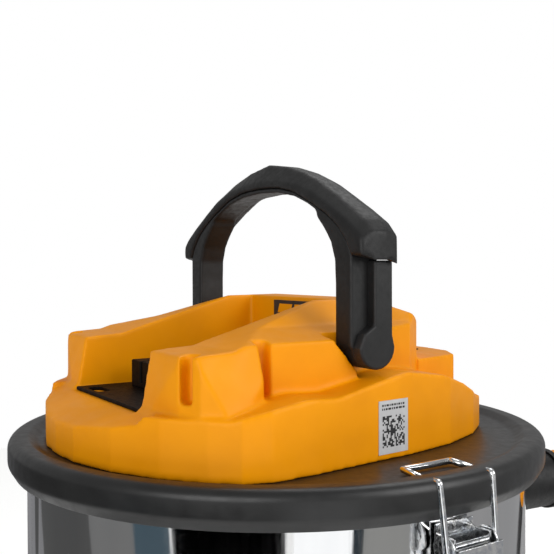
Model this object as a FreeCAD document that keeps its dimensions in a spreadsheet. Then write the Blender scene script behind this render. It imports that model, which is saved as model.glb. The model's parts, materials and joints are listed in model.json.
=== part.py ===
"""Battery shop vacuum: steel drum, sheet-metal lid, moulded motor head with an empty
battery bay, folding carry handle, two toggle latches and a suction hose.

Frame: millimetres, +Z up, origin on the drum's axis at floor level. The battery bay
opens towards -Y and the handle's legs stand at +X and -X. The drum, with its latches
and its inlet, is turned about Z by drum_turn against the head.
"""
import FreeCAD, Part
import math
import os
import re

import Sketcher

Vector = FreeCAD.Vector

SIZES = {
    # drum
    "drum_turn": -7,
    "drum_radius": 140,
    "drum_wall": 1,
    "drum_base": 8,
    "drum_top": 262,
    "bead": 2.6,
    "bottom_recess": 8,
    "foot_radius": 13,
    "foot_circle": 112,
    # inlet and hose
    "inlet_level": 217.5,
    "inlet_bore": 15.5,
    "port_radius": 20,
    "port_reach": 206,
    "cuff_radius": 18,
    "cuff_bend": 56,
    "cuff_turn": 60,
    "hose_radius": 15,
    "hose_wall": 2,
    "nozzle_radius": 13,
    "nozzle_length": 190,
    # lid
    "lid_level": 270,
    "lid_radius": 150,
    "lid_sheet": 1.2,
    "panel_radius": 133.5,
    "crest_radius": 144,
    "crest_rise": 3.2,
    "skirt_drop": 15,
    # latches
    "latch_turn": 2,
    "wire_radius": 1.6,
    "bail_half": 16.4,
    "bail_reach": 152.5,
    "bail_inner": 122.5,
    "bail_corner": 2.4,
    "bail_shoulder": 5,
    "latch_pivot_reach": 148.5,
    "latch_pivot_level": 242,
    "bail_pivot_level": 232,
    "lever_half": 13.7,
    "lever_sheet": 1,
    "lever_face": 157.5,
    "lever_top": 244,
    "lever_bottom": 189,
    "pin_radius": 1.5,
    "running_gap": 0.05,
    # head
    "head_wall": 3,
    "tier_height": 45,
    "bay_half": 45,
    "bay_back": 10,
    "bay_floor": 25,
    "head_top": 76.5,
    # handle
    "arch_inner": 74,
    "arch_leg": 13.5,
    "arch_front": -11.6,
    "arch_back": 5.4,
    "handle_pivot_y": 1,
    "handle_pivot_level": 54,
    "pivot_pin_radius": 4,
    "foot_round": 11,
    # blower and filter
    "motor_y": 40,
    "motor_radius": 26,
    "shaft_radius": 3,
    "blower_radius": 54,
    "impeller_radius": 46,
    "filter_radius": 50,
    "filter_length": 105,
}

doc = FreeCAD.newDocument("ShopVacuum")
sheet = doc.addObject("Spreadsheet::Sheet", "Sizes")
for row, (alias, value) in enumerate(SIZES.items(), 1):
    sheet.set(f"A{row}", alias)
    sheet.set(f"B{row}", str(value))
    sheet.setAlias(f"B{row}", alias)
doc.recompute()

nodes = {}
ALIAS = re.compile(r"\b(" + "|".join(SIZES) + r")\b")


def size(alias):
    """A driving dimension, read from the sheet."""
    return float(getattr(sheet, alias))


def bound(expression):
    """An expression over the sheet's aliases, in the form that a property takes."""
    return ALIAS.sub(r"Sizes.\1", str(expression))


def number(expression):
    """The value of an expression over the sheet's aliases."""
    return float(sheet.evalExpression(bound(expression)))


def node(obj, name):
    """Name an object as a finished sub-part."""
    obj.Label = name
    nodes[name] = obj
    return obj


def turned(obj, angle):
    """Turn a finished sub-part about the drum's axis."""
    obj.Placement = FreeCAD.Placement(Vector(), FreeCAD.Rotation(Vector(0, 0, 1), number(angle)))
    obj.setExpression("Placement.Rotation.Angle", bound(angle))
    return obj


def place(obj, at, axis=(0, 0, 1)):
    """Put a primitive at a point, its own Z along axis."""
    obj.Placement = FreeCAD.Placement(Vector(), FreeCAD.Rotation(Vector(0, 0, 1), Vector(*axis)))
    for side, expression in zip("xyz", at):
        obj.setExpression(f"Placement.Base.{side}", bound(expression))
    return obj


def primitive(kind, name, at, axis=(0, 0, 1), **lengths):
    obj = doc.addObject(kind, name)
    for name_of_size, expression in lengths.items():
        obj.setExpression(name_of_size, bound(expression))
    return place(obj, at, axis)


def box(name, low, high):
    """A block between two corners, each corner a triple of expressions."""
    spans = [f"({b}) - ({a})" for a, b in zip(low, high)]
    return primitive("Part::Box", name, low, Length=spans[0], Width=spans[1], Height=spans[2])


def turned_box(name, lengths, offset, at, angle):
    """A block with its low corner at an offset from a point, turned about Z at that point."""
    obj = doc.addObject("Part::Box", name)
    for side, length in zip(("Length", "Width", "Height"), lengths):
        obj.setExpression(side, bound(length))
    spin = FreeCAD.Rotation(Vector(0, 0, 1), angle)
    obj.Placement = FreeCAD.Placement(Vector(*at) + spin.multVec(Vector(*offset)), spin)
    return obj


def cylinder(name, at, radius, height, axis=(0, 0, 1)):
    return primitive("Part::Cylinder", name, at, axis, Radius=radius, Height=height)


def cone(name, at, lower, upper, height, axis=(0, 0, 1)):
    return primitive("Part::Cone", name, at, axis, Radius1=lower, Radius2=upper, Height=height)


def fuse(name, *shapes):
    obj = doc.addObject("Part::MultiFuse", name)
    obj.Shapes = list(shapes)
    return obj


def cut(name, base, *tools):
    obj = doc.addObject("Part::Cut", name)
    obj.Base = base
    obj.Tool = tools[0] if len(tools) == 1 else fuse(name + "_tools", *tools)
    return obj


def common(name, first, second):
    obj = doc.addObject("Part::Common", name)
    obj.Base = first
    obj.Tool = second
    return obj


def group(name, *shapes):
    """Separate solids that share one node."""
    obj = doc.addObject("Part::Compound", name)
    obj.Links = list(shapes)
    return obj


def tube(name, at, outer, inner, height, axis=(0, 0, 1)):
    outside = cylinder(name + "_outside", at, outer, height, axis)
    inside = cylinder(name + "_inside", at, inner, height, axis)
    return cut(name, outside, inside)


def plane_of(body, role):
    return next(f for f in body.Origin.OriginFeatures if f.Role == role)


def outline(sketch, points):
    """A closed outline through points (across, up, radius to the next point or None).

    Every corner is held by its two distances from the origin, each bound to the sheet;
    an arc keeps its radius, positive when it turns anticlockwise.
    """
    values = [(number(p[0]), number(p[1])) for p in points]
    count = len(points)
    for i, point in enumerate(points):
        start = Vector(*values[i], 0)
        end = Vector(*values[(i + 1) % count], 0)
        if len(point) == 2:
            sketch.addGeometry(Part.LineSegment(start, end), False)
            continue
        radius = number(point[2])
        chord = end - start
        side = Vector(-chord.y, chord.x, 0).normalize()
        rise = abs(radius) - math.sqrt(radius ** 2 - (chord.Length / 2) ** 2)
        middle = (start + end) / 2 - side * math.copysign(rise, radius)
        sketch.addGeometry(Part.Arc(start, middle, end), False)
    for i, point in enumerate(points):
        reverse = len(point) == 3 and number(point[2]) < 0
        first = 2 if reverse else 1
        for kind, expression in zip(("DistanceX", "DistanceY"), point):
            held = Sketcher.Constraint(kind, -1, 1, i, first, number(expression))
            index = sketch.addConstraint(held)
            sketch.setExpression(f"Constraints[{index}]", bound(expression))
        following = (i + 1) % count
        next_reverse = len(points[following]) == 3 and number(points[following][2]) < 0
        ends = (1 if reverse else 2, 2 if next_reverse else 1)
        sketch.addConstraint(Sketcher.Constraint("Coincident", i, ends[0], following, ends[1]))
        if len(point) == 3:
            arc = Sketcher.Constraint("Radius", i, abs(number(point[2])))
            index = sketch.addConstraint(arc)
            sketch.setExpression(f"Constraints[{index}]", f"abs({bound(point[2])})")


def body_with_sketch(name, role, points):
    body = doc.addObject("PartDesign::Body", name)
    sketch = body.newObject("Sketcher::SketchObject", name + "_sketch")
    sketch.AttachmentSupport = [(plane_of(body, role), "")]
    sketch.MapMode = "FlatFace"
    outline(sketch, points)
    return body, sketch


def revolved(name, points):
    """A body of revolution about Z from (radius, height) points."""
    body, sketch = body_with_sketch(name, "XZ_Plane", points)
    turn = body.newObject("PartDesign::Revolution", name + "_revolution")
    turn.Profile = sketch
    turn.ReferenceAxis = (sketch, ["V_Axis"])
    turn.Angle = 360
    body.Tip = turn
    return body


def padded(name, role, points, low, high, taper="0"):
    """A body padded from an outline on an origin plane, from low to high along its normal."""
    body, sketch = body_with_sketch(name, role, points)
    sketch.setExpression("AttachmentOffset.Base.z", bound(low))
    pad = body.newObject("PartDesign::Pad", name + "_pad")
    pad.Profile = sketch
    pad.setExpression("Length", bound(f"({high}) - ({low})"))
    pad.setExpression("TaperAngle", bound(taper))
    body.Tip = pad
    return body


def mirrored(points):
    """The whole outline of a shape that is even about the second axis, from its right half."""
    left = [(f"-({x})", y) for x, y in reversed(points) if number(x)]
    return points + left


def polar(radius, angle):
    radians = math.radians(angle)
    return radius * math.cos(radians), radius * math.sin(radians)


# ---------------------------------------------------------------- drum
def make_drum():
    wall_in = "drum_radius - drum_wall"
    rim_low = "drum_top - 5"
    barrel = revolved("barrel", [
        (wall_in, "drum_base + 1"), ("drum_radius", "drum_base + 1"), ("drum_radius", rim_low),
        ("drum_radius + bead", "drum_top - 4"), ("drum_radius + bead", "drum_top - 1"),
        ("drum_radius + 1", "drum_top"), (wall_in, "drum_top"),
    ])
    inlet = cylinder("barrel_inlet", ("0", "drum_radius - 20", "inlet_level"),
                     "port_radius + 0.4", "40", (0, 1, 0))
    turned(node(cut("drum_shell_cut", barrel, inlet), "drum_shell"), "drum_turn")

    floor = "drum_base + bottom_recess"
    bottom = revolved("bottom", [
        (0, floor), ("drum_radius - 9", floor), ("drum_radius - 4", "drum_base"),
        ("drum_radius + bead", "drum_base"), ("drum_radius + bead", "drum_base + 7"),
        ("drum_radius + 0.1", "drum_base + 7"), ("drum_radius + 0.1", "drum_base + 1"),
        ("drum_radius - 3.2", "drum_base + 1"), ("drum_radius - 8.4", f"{floor} + 1"),
        (0, f"{floor} + 1"),
    ])
    turned(node(bottom, "drum_bottom"), "drum_turn")

    feet, screws = [], []
    for i in range(4):
        x, y = polar(size("foot_circle"), 45 + 90 * i)
        pad = cone(f"foot_pad{i}", (x, y, 0), "foot_radius", "foot_radius - 2", floor)
        well = cylinder(f"foot_well{i}", (x, y, 0), 5, 4)
        feet.append(cut(f"foot{i}", pad, well))
        screws.append(cylinder(f"foot_screw{i}", (x, y, 1.5), 4, 2.5))
    turned(node(group("feet", *feet), "rubber_feet"), "drum_turn")
    turned(node(group("foot_screw_group", *screws), "foot_screws"), "drum_turn")


# ---------------------------------------------------------------- inlet, cuff and hose
def make_inlet():
    """The port is a black spigot with a plate shaped to the drum, and a rim at its mouth."""
    start, mouth = "drum_radius - 14", "port_reach"
    length = f"{mouth} - ({start})"
    centre = ("0", start, "inlet_level")
    spigot = cone("port_spigot", centre, "port_radius", "port_radius - 1.5", length, (0, 1, 0))
    rim = cylinder("port_rim", ("0", f"{mouth} - 4", "inlet_level"), "port_radius", 4, (0, 1, 0))
    ring = tube("port_ring", (0, 0, "inlet_level - 29"), "drum_radius + 2.6",
                "drum_radius + 0.1", 58)
    window = box("port_window", (-29, "drum_radius - 20", "inlet_level - 29"),
                 (29, "drum_radius + 20", "inlet_level + 29"))
    plate = common("port_plate", ring, window)
    bore = cylinder("port_bore", ("0", f"{start} - 1", "inlet_level"), "inlet_bore",
                    f"{length} + 2", (0, 1, 0))
    port = cut("port", fuse("port_solid", spigot, rim, plate), bore)
    turned(node(port, "inlet_port"), "drum_turn")

    rivets = []
    for i, (side, level) in enumerate([(-24, -22), (24, -22), (-24, 22), (24, 22)]):
        reach = "drum_radius + 0.2"
        head = cylinder(f"port_rivet{i}", (side, reach, f"inlet_level + {level}"), 3, 2.2,
                        (0, 1, 0))
        rivets.append(head)
    turned(node(group("port_rivets", *rivets), "inlet_rivets"), "drum_turn")

    back = "drum_radius - 14.2"
    hood = cylinder("hood_outer", ("0", f"{back} - 26", "inlet_level - 46"), 26, 70)
    hollow = cylinder("hood_hollow", ("0", f"{back} - 26", "inlet_level - 47"), 24, 69)
    doorway = cylinder("hood_doorway", ("0", f"{back} - 20", "inlet_level"), 16, 30, (0, 1, 0))
    opening = box("hood_opening", (-30, f"{back} - 60", "inlet_level - 47"),
                  (30, f"{back} - 30", "inlet_level + 30"))
    turned(node(cut("hood", hood, hollow, doorway, opening), "inlet_deflector"), "drum_turn")


def swept(path, radius):
    """A round bar along a smooth wire."""
    start = path.Edges[0]
    direction = start.tangentAt(start.FirstParameter)
    circle = Part.Circle(start.valueAt(start.FirstParameter), direction, radius)
    profile = Part.Wire([circle.toShape()])
    return path.makePipeShell([profile], True, False)


def featured(name, shape):
    obj = doc.addObject("Part::Feature", name)
    obj.Shape = shape
    return obj


def cuff_frame():
    """The cuff's bend, in the drum's frame: its start, centre, end and end direction."""
    bend, turn = size("cuff_bend"), math.radians(size("cuff_turn"))
    start = Vector(0, size("port_reach") + 10, size("inlet_level"))
    centre = start - Vector(0, 0, bend)
    end = centre + Vector(0, bend * math.sin(turn), bend * math.cos(turn))
    direction = Vector(0, math.cos(turn), -math.sin(turn))
    middle = centre + Vector(0, bend * math.sin(turn / 2), bend * math.cos(turn / 2))
    return start, middle, end, direction


def make_cuff():
    """A yellow swept elbow: a sleeve, a bend with three ribs, and a spigot in the port."""
    start, middle, end, direction = cuff_frame()
    sleeve_start = Vector(0, size("port_reach") + 0.2, size("inlet_level"))
    path = Part.Wire([
        Part.LineSegment(sleeve_start, start).toShape(),
        Part.Arc(start, middle, end).toShape(),
    ])
    outer = swept(path, size("cuff_radius"))
    for i in range(3):
        at = end - direction * (3 + 5 * i)
        outer = outer.fuse(Part.makeCylinder(size("cuff_radius") + 1.6, 2.4, at, direction))
    spigot_start = Vector(0, size("port_reach") - 34, size("inlet_level"))
    spigot = Part.makeCylinder(size("inlet_bore") - 0.5, 35, spigot_start, Vector(0, 1, 0))
    bore_path = Part.Wire([
        Part.LineSegment(spigot_start, start).toShape(),
        Part.Arc(start, middle, end).toShape(),
    ])
    solid = outer.fuse(spigot).cut(swept(bore_path, size("hose_radius") - size("hose_wall") - 1))
    turned(node(featured("cuff", solid.removeSplitter()), "hose_cuff"), "drum_turn")


# The hose leaves the cuff's end, comes down behind the inlet and lies once round the drum.
HOSE_ROUTE = [
    (32.3, 262.5, 189.5),
    (35.6, 289.8, 141.9),
    (24.5, 321.0, 91.6),
    (-8.1, 349.9, 50.4),
    (-57.4, 372.3, 24.0),
    (-116.5, 384.9, 15.2),
    (-183.9, 373.7, 15.2),
    (-241.2, 338.0, 15.2),
    (-288.4, 278.9, 15.2),
    (-320.7, 201.2, 15.2),
    (-334.1, 113.9, 15.2),
    (-324.4, 26.3, 15.2),
    (-291.6, -55.3, 15.2),
    (-239.5, -126.5, 15.2),
    (-170.3, -181.3, 15.2),
    (-89.4, -216.8, 15.2),
]


def route_path(route):
    """Straight runs joined by tangent arcs, each arc as large as its two runs allow."""
    corners = [Vector(*point) for point in route]
    edges, radii, here = [], [], corners[0]
    for before, at, after in zip(corners, corners[1:], corners[2:]):
        back, on = (before - at), (after - at)
        half_turn = (math.pi - back.getAngle(on)) / 2
        reach = 0.45 * min(back.Length, on.Length)
        radius = reach / math.tan(half_turn)
        back.normalize()
        on.normalize()
        first, last = at + back * reach, at + on * reach
        bisector = (back + on).normalize()
        middle = at + bisector * (radius / math.cos(half_turn) - radius)
        edges.append(Part.LineSegment(here, first).toShape())
        edges.append(Part.Arc(first, middle, last).toShape())
        radii.append(radius)
        here = last
    edges.append(Part.LineSegment(here, corners[-1]).toShape())
    return Part.Wire(edges), radii


def make_hose():
    path, radii = route_path(HOSE_ROUTE)
    inner = size("hose_radius") - size("hose_wall")
    section = math.pi * (size("hose_radius") ** 2 - inner ** 2)
    solid = swept(path, size("hose_radius")).cut(swept(path, inner))
    node(featured("hose_tube", solid), "suction_hose")
    print(f"hose length {path.Length:.0f} mm, volume ratio {solid.Volume / (section * path.Length):.4f}")
    print("hose arc radii " + " ".join(f"{radius:.0f}" for radius in radii))

    end = Vector(*HOSE_ROUTE[-1])
    along = (end - Vector(*HOSE_ROUTE[-2])).normalize()
    grip_length = 55
    grip_radius = size("hose_radius") + 0.1
    grip = Part.makeCone(grip_radius, grip_radius - 0.5, grip_length, end, along)
    socket_at = end + along * (grip_length - 30)
    socket = Part.makeCylinder(size("nozzle_radius") + 0.05, 31, socket_at, along)
    way = Part.makeCylinder(size("hose_radius") - size("hose_wall") - 2, 60, end, along)
    node(featured("grip", grip.cut(socket).cut(way)), "nozzle_cuff")

    start = end + along * (grip_length - 30)
    length = size("nozzle_length")
    pipe = Part.makeCylinder(size("nozzle_radius"), length, start, along)
    bore = Part.makeCylinder(size("nozzle_radius") - 1.2, length, start, along)
    tip = start + along * length
    slant = Part.makeBox(60, 60, 60, Vector(-30, -30, 0))
    tilt = FreeCAD.Rotation(Vector(0, 0, 1), along + Vector(0, 0, 0.9))
    slant.Placement = FreeCAD.Placement(tip - along * 14, tilt)
    node(featured("pipe", pipe.cut(bore).cut(slant)), "nozzle_tube")


# ---------------------------------------------------------------- lid
def make_lid():
    """A flat panel in a rolled, raised rim whose skirt hangs over the drum's bead."""
    under = "lid_level - lid_sheet"
    inner = "lid_radius - lid_sheet"
    pan = revolved("pan", [
        (0, under), ("panel_radius + 0.6", under), ("panel_radius + 5.8", "lid_level + 1.1"),
        ("crest_radius", "lid_level + crest_rise - lid_sheet"),
        (inner, "lid_level - 5"), (inner, "lid_level - 9.6"),
        ("lid_radius - 4.4", "lid_level - skirt_drop"),
        ("lid_radius - 3.2", "lid_level - skirt_drop"),
        ("lid_radius", "lid_level - 9.4"),
        ("lid_radius", "lid_level - 4", 6.9),
        ("crest_radius", "lid_level + crest_rise"), ("panel_radius + 5.5", "lid_level + 2.3"),
        ("panel_radius", "lid_level"), (0, "lid_level"),
    ])
    air_way = cylinder("pan_air_way", (0, "motor_y", "lid_level - 5"), "blower_radius + 1", 10)
    node(cut("pan_cut", pan, air_way), "lid_pan")

    seal = revolved("seal", [
        ("drum_radius - 4", "drum_top + 0.1"), ("drum_radius + 2", "drum_top + 0.1"),
        ("drum_radius + 2", "lid_level - 0.4"), ("drum_radius - 4", "lid_level - 0.4"),
    ])
    node(seal, "lid_gasket")


# ---------------------------------------------------------------- latches
def make_latch(side, angle):
    """A toggle latch at +X: bracket and pin on the drum, lever, and wire bail.

    The bail's legs stand outside the lever's cheeks and their ends turn in through them;
    its top lies on the lid's panel behind the raised rim.
    """
    pivot = ("latch_pivot_reach", "latch_pivot_level")
    low = "lever_bottom + 8"
    ear_out = "lever_half - lever_sheet - 1"
    back = box(f"bracket_back_{side}", ("drum_radius + 0.7", f"-({ear_out})", low),
               ("drum_radius + 1.9", ear_out, "latch_pivot_level + 9"))
    ears = [
        box(f"bracket_ear_{side}{i}", ("drum_radius + 1.9", y, f"{pivot[1]} - 14"),
            (f"{pivot[0]} + 4", f"{y} + 1.2", f"{pivot[1]} + 5"))
        for i, y in enumerate((f"-({ear_out})", f"{ear_out} - 1.2"))
    ]
    hole = cylinder(f"bracket_hole_{side}", (pivot[0], -30, pivot[1]), "pin_radius", 60, (0, 1, 0))
    bracket = cut(f"bracket_{side}", fuse(f"bracket_solid_{side}", back, *ears), hole)
    turned(node(bracket, f"latch_bracket_{side}"), angle)

    pin = cylinder(f"pin_shank_{side}", (pivot[0], "-lever_half - 0.5", pivot[1]),
                   "pin_radius", "2 * lever_half + 1", (0, 1, 0))
    heads = [
        cylinder(f"pin_head_{side}{i}", (pivot[0], y, pivot[1]), "pin_radius + 0.9", 0.5,
                 (0, 1, 0))
        for i, y in enumerate(("-lever_half - 0.55", "lever_half + 0.05"))
    ]
    turned(node(fuse(f"pin_{side}", pin, *heads), f"latch_pin_{side}"), angle)

    rivets = [
        cylinder(f"bracket_rivet_{side}{i}", ("drum_radius + 0.7", 0, f"{low} + {up}"), 2.6, 2.4,
                 (1, 0, 0))
        for i, up in enumerate((7, 22))
    ]
    turned(node(group(f"bracket_rivets_{side}", *rivets), f"latch_rivets_{side}"), angle)

    cheeks = []
    for i, y in enumerate(("-lever_half", "lever_half - lever_sheet")):
        web = box(f"lever_web_{side}{i}", ("latch_pivot_reach - 3", y, "lever_bottom + 6"),
                  ("lever_face - lever_sheet", f"{y} + lever_sheet", "lever_top"))
        ear = cylinder(f"lever_ear_{side}{i}", (pivot[0], y, pivot[1]), 6.4, "lever_sheet",
                       (0, 1, 0))
        cheeks += [web, ear]
    face = box(f"lever_front_{side}", ("lever_face - lever_sheet", "-lever_half", "lever_bottom"),
               ("lever_face", "lever_half", "lever_top"))
    tip = box(f"lever_tip_{side}", ("lever_face - lever_sheet", "-lever_half", "lever_bottom"),
              ("lever_face + 5", "lever_half", "lever_bottom + lever_sheet"))
    holes = [
        cylinder(f"lever_pin_hole_{side}", (pivot[0], -30, pivot[1]),
                 "pin_radius + running_gap", 60, (0, 1, 0)),
        cylinder(f"lever_bail_hole_{side}", ("bail_reach", -30, "bail_pivot_level"),
                 "wire_radius + running_gap", 60, (0, 1, 0)),
    ]
    lever = cut(f"lever_{side}", fuse(f"lever_solid_{side}", face, tip, *cheeks), *holes)
    turned(node(lever, f"latch_lever_{side}"), angle)
    turned(node(featured(f"wire_{side}", bail_shape()), f"latch_bail_{side}"), angle)


def rounded_path(corners, radii):
    """A wire through corners, each rounded to its radius."""
    edges, here = [], corners[0]
    for before, at, after, radius in zip(corners, corners[1:], corners[2:], radii):
        back, on = (before - at).normalize(), (after - at).normalize()
        half_turn = (math.pi - back.getAngle(on)) / 2
        reach = radius * math.tan(half_turn)
        first, last = at + back * reach, at + on * reach
        bisector = (back + on).normalize()
        middle = at + bisector * (radius / math.cos(half_turn) - radius)
        edges.append(Part.LineSegment(here, first).toShape())
        edges.append(Part.Arc(first, middle, last).toShape())
        here = last
    edges.append(Part.LineSegment(here, corners[-1]).toShape())
    return Part.Wire(edges)


def bail_shape():
    """The bail's wire: stub, leg, inward run, cross bar, and the same back."""
    wire, half, reach = size("wire_radius"), size("bail_half"), size("bail_reach")
    level = size("bail_pivot_level")
    crest = size("lid_level") + size("crest_rise") + wire + 0.4
    rest = size("lid_level") + wire + 0.15
    stub = size("lever_half") - size("lever_sheet") - 0.7
    side = [
        Vector(reach, -stub, level), Vector(reach, -half, level), Vector(reach, -half, crest + 0.6),
        Vector(size("crest_radius") - 7, -half, crest), Vector(size("bail_inner"), -half, rest),
    ]
    corners = side + [Vector(p.x, -p.y, p.z) for p in reversed(side)]
    corner, shoulder = size("bail_corner"), size("bail_shoulder")
    half_radii = [corner, shoulder, shoulder, corner]
    return swept(rounded_path(corners, half_radii + half_radii[::-1]), wire)


# ---------------------------------------------------------------- head
def above(rise):
    """A height above the lid's panel."""
    return f"lid_level + {rise}"


HEAD_OUTLINE = [
    (0, -130.8), (22, -129), (50, -121), (74, -107.5), (92, -92.5), (102, -81), (106.5, -68),
    (105.5, -45), (102.3, -22), (100, -6), (97.5, 18), (90, 52), (77, 82), (62, 102), (40, 114),
    (0, 118),
]

TIER_TOP = [
    (130, 16), (120, 17), (95, 19), (70, 30), (48, 37), (16, 41.7), (0, 38.9), (-15, 36.2),
    (-30, 33.5), (-49, 34.5), (-66, 32), (-85, 27.5), (-140, 27.5),
]

FLANK_HOLLOW = [(49, -44), (66, -40), (70, -14), (70, 5), (49, 5)]


def inset(points, wall):
    """The half outline moved in towards its middle by about a wall."""
    reach = [math.hypot(x, y) for x, y in points]
    return [(round(x * (1 - wall / r), 2), round(y * (1 - wall / r), 2))
            for (x, y), r in zip(points, reach)]


def make_head():
    """The head: a tier, a raised body over the motor and round the bay, and a hollow below."""
    plinth = padded("plinth", "XY_Plane", mirrored(HEAD_OUTLINE), "lid_level",
                    above("tier_height"))
    tier_top = padded("tier_top", "YZ_Plane", [
        (-140, "lid_level"), (130, "lid_level"), *[(y, above(z)) for y, z in TIER_TOP],
    ], -115, 115)
    tier = common("tier", plinth, tier_top)
    plan = padded("upper_plan", "XY_Plane", mirrored([
        (0, -106), (50, -105), (77, -99.5), (88, -94), (95, -85), (95, -74), (90, -62), (84, -56),
        (84, -5), (73, -5), (73, 22), (66, 45), (50, 64), (30, 76), (0, 79),
    ]), above(15), above(100))
    profile = padded("upper_profile", "YZ_Plane", [
        (-106, above(15)), (81, above(15)), (79, above(41)), (72, above(58)), (62, above(65)),
        (30, above("head_top")), (-6, above("head_top - 0.3")), (-70, above(58)),
        (-76, above(56)), (-99, above(54.5)),
    ], -100, 100)
    section = padded("upper_section", "XZ_Plane", mirrored([
        (0, above(10)), (97, above(10)), (95, above(30)), (85, above(58)), (62, above(64)),
        (47, above(77)), (0, above(77)),
    ]), -140, 120)
    upper = common("upper", common("upper_pair", plan, profile), section)
    rear = padded("rear_tier", "XY_Plane", mirrored([
        (0, 54), (54, 62), (44, 99), (26, 111), (0, 115),
    ]), above(15), above(41))
    solid = fuse("head_solid", tier, upper, rear)

    bay = box("bay", ("-bay_half", -140, above("bay_floor")), ("bay_half", "bay_back", above(120)))
    scoop_side = padded("scoop_side", "YZ_Plane", [
        (-105.5, above(26)), (-105.5, above(60)), (-140, above(60)), (-140, above(14)),
    ], -70, 70)
    scoop_front = padded("scoop_front", "XZ_Plane", mirrored([
        (0, above(10)), (52, above(10)), (66, above(28)), (66, above(60)), (0, above(60)),
    ]), 100, 145)
    scoop = common("scoop", scoop_side, scoop_front)
    notches = [
        padded(f"handle_notch{i}", "YZ_Plane", [
            (-20.5, above(60)), (-5, above(42.2)), (30, above(42.2)), (30, above(100)),
            (-20.5, above(100)),
        ], low, high)
        for i, (low, high) in enumerate(((73.2, 100), (-100, -73.2)))
    ]
    hollow_block = padded("hollow_block", "XY_Plane", mirrored(inset(HEAD_OUTLINE, 3.4)),
                          "lid_level - 1", above("bay_floor - head_wall"))
    hollow_front = box("hollow_front", (-120, -140, above(11)), (120, -98, above(30)))
    hollow_rear = box("hollow_rear", (-120, 74, above(13)), (120, 140, above(30)))
    hollow = cut("hollow", hollow_block, hollow_front, hollow_rear)
    dome_plan = padded("dome_plan", "XY_Plane", mirrored([
        (0, "bay_back + head_wall"), (68, "bay_back + head_wall"), (62, 42), (47, 60), (28, 72),
        (0, 75),
    ]), above(20), above(100))
    dome_profile = padded("dome_profile", "YZ_Plane", [
        (5, above(20)), (77, above(20)), (75, above(38)), (69, above(54)), (64.5, above(60)),
        (30, above("head_top - head_wall")), (5, above("head_top - head_wall")),
    ], -100, 100)
    dome_section = padded("dome_section", "XZ_Plane", mirrored([
        (0, above(15)), (80, above(15)), (78, above(54)), (60, above(61)), (46, above(73.5)),
        (0, above(73.5)),
    ]), -140, 120)
    dome = common("dome", common("dome_pair", dome_plan, dome_profile), dome_section)
    flanks = [
        padded(f"flank_{i}", "XY_Plane", [(side * x, y) for x, y in FLANK_HOLLOW],
               above(20), above(50))
        for i, side in enumerate((1, -1))
    ]
    switch_hole = box("switch_hole", (-11.2, 83.8, above(5)), (11.2, 100.2, above(60)))
    slots = []
    for side in (1, -1):
        for x, y, angle, width, depth in ((80.5, -97.8, 27, 7, 12), (90, -59, 90, 7, 16)):
            at = Vector(side * x, y, number(above(33)))
            slots.append(turned_box(f"slot_{x}_{side + 1}", (width, depth, 60),
                                    (-width / 2, -4, 0), at, side * angle))
    housing = cut("housing", solid, bay, scoop, hollow, dome, switch_hole, *notches, *flanks,
                  *slots)
    node(housing, "head_housing")


def make_bay():
    floor = above("bay_floor")
    plate = box("bay_plate", ("-bay_half + 0.3", -105, floor),
                ("bay_half - 0.3", "bay_back - 0.3", f"{floor} + 2"))
    oval = fuse("bay_oval",
                cylinder("bay_oval_a", (-33, -98, f"{floor} - 1"), 4, 4),
                cylinder("bay_oval_b", (-22, -98, f"{floor} - 1"), 4, 4),
                box("bay_oval_mid", (-33, -102, f"{floor} - 1"), (-22, -94, f"{floor} + 3")))
    node(cut("bay_plate_cut", plate, oval), "bay_floor_plate")

    top = f"{floor} + 2"
    block = box("terminal_solid", (-30, -78, top), (30, -50, f"{top} + 15"))
    grooves = [
        box(f"terminal_groove{i}", (x - 1.2, -82, f"{top} + 3"), (x + 1.2, -56, f"{top} + 20"))
        for i, x in enumerate((-16, 0, 16))
    ]
    node(cut("terminal", block, *grooves), "terminal_block")
    blades = [
        box(f"blade{i}", (x - 0.5, -76, f"{top} + 3"), (x + 0.5, -56, f"{top} + 11"))
        for i, x in enumerate((-16, 0, 16))
    ]
    node(group("blades", *blades), "terminal_contacts")
    badge = box("badge", (-16.5, "bay_back - 1.2", above(64.5)),
                (28.5, "bay_back - 0.05", above(74)))
    node(badge, "bay_badge")


def make_info_label():
    """A thin plate on the head's right wall."""
    low, high = Vector(100, -6, 0), Vector(97.5, 18, 0)
    along = (high - low).normalize()
    out = Vector(along.y, -along.x, 0)
    at = low + along * 1.5 + out * 0.05 + Vector(0, 0, size("lid_level") + 3)
    corners = [at, at + along * 20, at + along * 20 + Vector(0, 0, 26), at + Vector(0, 0, 26)]
    face = Part.Face(Part.makePolygon(corners + corners[:1]))
    node(featured("label", face.extrude(out * 0.4)), "info_label")


def make_switch():
    """A rocker in a bezel on the rear tier; at rest it leans to its off side."""
    body = box("switch_case", (-11, 84, above(26)), (11, 100, above(41.6)))
    well = box("switch_well", (-8.6, 86.4, above(29)), (8.6, 97.6, above(60)))
    socket = cylinder("switch_socket", (-9.8, 92, above(39)), "1.5 + running_gap", 19.6, (1, 0, 0))
    node(cut("switch_body_cut", body, well, socket), "switch_body")

    slab = box("rocker_slab", (-8.1, 87.2, above(37)), (8.1, 96.8, above(43)))
    axle = cylinder("rocker_axle", (-9.5, 92, above(39)), 1.5, 19, (1, 0, 0))
    rocker = fuse("rocker", slab, axle)
    tilt = FreeCAD.Rotation(Vector(1, 0, 0), -8)
    rocker.Placement = FreeCAD.Placement(Vector(), tilt, Vector(0, 92, number(above(39))))
    node(rocker, "switch_rocker")


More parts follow.
